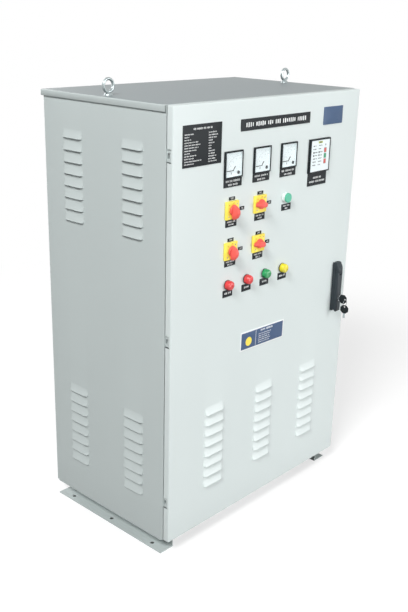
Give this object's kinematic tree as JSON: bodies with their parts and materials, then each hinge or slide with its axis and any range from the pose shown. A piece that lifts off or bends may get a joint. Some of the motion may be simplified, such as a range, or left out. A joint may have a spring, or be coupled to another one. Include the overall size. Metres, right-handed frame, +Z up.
{
  "type": "thyristor battery charger",
  "caption": "Floor standing sheet steel battery charger cabinet with a hinged instrument door, pressed louvres, swing handle, base rails and lifting eyes.",
  "frame": {"origin": "middle of the six floor bolts, on the floor", "axes": "+X to the right seen from the door, -Y out of the door, +Z up"},
  "size_m": [0.816, 0.5658, 1.3075],
  "materials": {
    "cabinet_paint": "fine texture semi-matt powder coat, light grey green",
    "door_paint": "fine texture semi-matt powder coat, very light grey green",
    "zinc": "bright zinc plated",
    "core_steel": "varnished laminations",
    "winding": "varnished copper windings",
    "aluminium": "plain extruded",
    "black_plastic": "moulded, slight sheen",
    "board": "green lacquered board",
    "can_sleeve": "shrunk sleeve",
    "light_plastic": "moulded",
    "terminal_plastic": "moulded",
    "seal": "foam rubber",
    "dial_white": "printed white",
    "window": "clear",
    "key_red": "membrane key",
    "plate_yellow": "moulded",
    "collar": "bright moulded",
    "holder": "moulded",
    "lens_red": "translucent moulded",
    "lens_green": "translucent moulded",
    "lens_yellow": "translucent moulded",
    "handle_plastic": "glass filled, dark grey",
    "knob_red": "moulded",
    "button_green": "moulded",
    "chrome": "polished"
  },
  "bodies": {
    "cabinet": {"side_panel_left": "cabinet_paint", "side_panel_right": "cabinet_paint", "back_panel": "cabinet_paint", "front_frame": "cabinet_paint", "floor_pan": "cabinet_paint", "gland_plate": "zinc", "roof_cap": "cabinet_paint", "base_rail_left": "door_paint", "base_rail_right": "door_paint", "eyebolt_left": "zinc", "eyebolt_right": "zinc", "hinge_brackets": "zinc", "hinge_pins": "zinc", "mounting_plate": "zinc", "floor_channels": "zinc", "transformer_core": "core_steel", "transformer_coils": "winding", "choke_core": "core_steel", "choke_coil": "winding", "heat_sink": "aluminium", "thyristor_modules": "black_plastic", "control_board": "board", "filter_capacitors": "can_sleeve", "contactor": "black_plastic", "breakers": "light_plastic", "terminal_strip": "terminal_plastic", "din_rails": "zinc"},
    "door": {"door_panel": "door_paint", "door_seal": "seal", "hinge_leaves": "zinc", "meter_housings": "black_plastic", "meter_dials": "dial_white", "meter_windows": "window", "display_case": "black_plastic", "display_face": "dial_white", "display_keys": "key_red", "switch_plates": "plate_yellow", "switch_blocks": "black_plastic", "button_collar": "collar", "lamp_holders": "holder", "lamp_lenses_red": "lens_red", "lamp_lens_green": "lens_green", "lamp_lens_yellow": "lens_yellow", "handle_base": "handle_plastic"},
    "handle": {"handle_hub": "handle_plastic", "latch_cam": "zinc"},
    "lever": {"handle_lever": "handle_plastic", "lock_cylinder": "chrome"},
    "lock_key": {"lock_plug": "chrome", "key": "black_plastic"},
    "hanging_key": {"key_ring": "chrome", "spare_key": "black_plastic"},
    "button": {"button_cap": "button_green"},
    "knob_1": {"switch_knob_1": "knob_red"},
    "knob_2": {"switch_knob_2": "knob_red"},
    "knob_3": {"switch_knob_3": "knob_red"},
    "knob_4": {"switch_knob_4": "knob_red"},
    "pointer_1": {"meter_pointer_1": "black_plastic"},
    "pointer_2": {"meter_pointer_2": "black_plastic"},
    "pointer_3": {"meter_pointer_3": "black_plastic"}
  },
  "joints": [
    {"name": "door_hinge", "type": "hinge", "parent": "cabinet", "child": "door", "pos_m": [-0.392, -0.2505, 0.657], "axis": [0, 0, -1], "range_deg": [0, 100]},
    {"name": "handle_turn", "type": "hinge", "parent": "door", "child": "handle", "pos_m": [0.3395, -0.2615, 0.716], "axis": [0, 1, 0], "range_deg": [0, 90]},
    {"name": "lever_lift", "type": "hinge", "parent": "handle", "child": "lever", "pos_m": [0.3395, -0.2778, 0.698], "axis": [-1, 0, 0], "range_deg": [0, 40]},
    {"name": "key_turn", "type": "hinge", "parent": "lever", "child": "lock_key", "pos_m": [0.3395, -0.2838, 0.615], "axis": [0, 1, 0], "range_deg": [0, 90]},
    {"name": "spare_key_swing", "type": "hinge", "parent": "lock_key", "child": "hanging_key", "pos_m": [0.3395, -0.3078, 0.615], "axis": [-1, 0, 0], "range_deg": [-10, 40]},
    {"name": "button_press", "type": "slide", "parent": "door", "child": "button", "axis": [0, 1, 0], "range_m": [0, 0.004], "stiffness_N_per_m": 400, "springref_m": -0.002},
    {"name": "switch_turn_1", "type": "hinge", "parent": "door", "child": "knob_1", "pos_m": [-0.1785, -0.2615, 0.9775], "axis": [0, 1, 0], "range_deg": [0, 90]},
    {"name": "switch_turn_2", "type": "hinge", "parent": "door", "child": "knob_2", "pos_m": [-0.0615, -0.2615, 0.9775], "axis": [0, 1, 0], "range_deg": [-90, 0]},
    {"name": "switch_turn_3", "type": "hinge", "parent": "door", "child": "knob_3", "pos_m": [-0.1785, -0.2615, 0.866], "axis": [0, 1, 0], "range_deg": [0, 90]},
    {"name": "switch_turn_4", "type": "hinge", "parent": "door", "child": "knob_4", "pos_m": [-0.0615, -0.2615, 0.866], "axis": [0, 1, 0], "range_deg": [-90, 0]},
    {"name": "meter_1", "type": "hinge", "parent": "door", "child": "pointer_1", "pos_m": [-0.1558, -0.2615, 1.0754], "axis": [0, 1, 0], "range_deg": [0, 90], "stiffness_Nm_per_rad": 0.0001, "springref_deg": -22.92},
    {"name": "meter_2", "type": "hinge", "parent": "door", "child": "pointer_2", "pos_m": [-0.0381, -0.2615, 1.0754], "axis": [0, 1, 0], "range_deg": [0, 90], "stiffness_Nm_per_rad": 0.0001, "springref_deg": -22.92},
    {"name": "meter_3", "type": "hinge", "parent": "door", "child": "pointer_3", "pos_m": [0.0796, -0.2615, 1.0754], "axis": [0, 1, 0], "range_deg": [0, 90], "stiffness_Nm_per_rad": 0.0001, "springref_deg": -22.92}
  ]
}
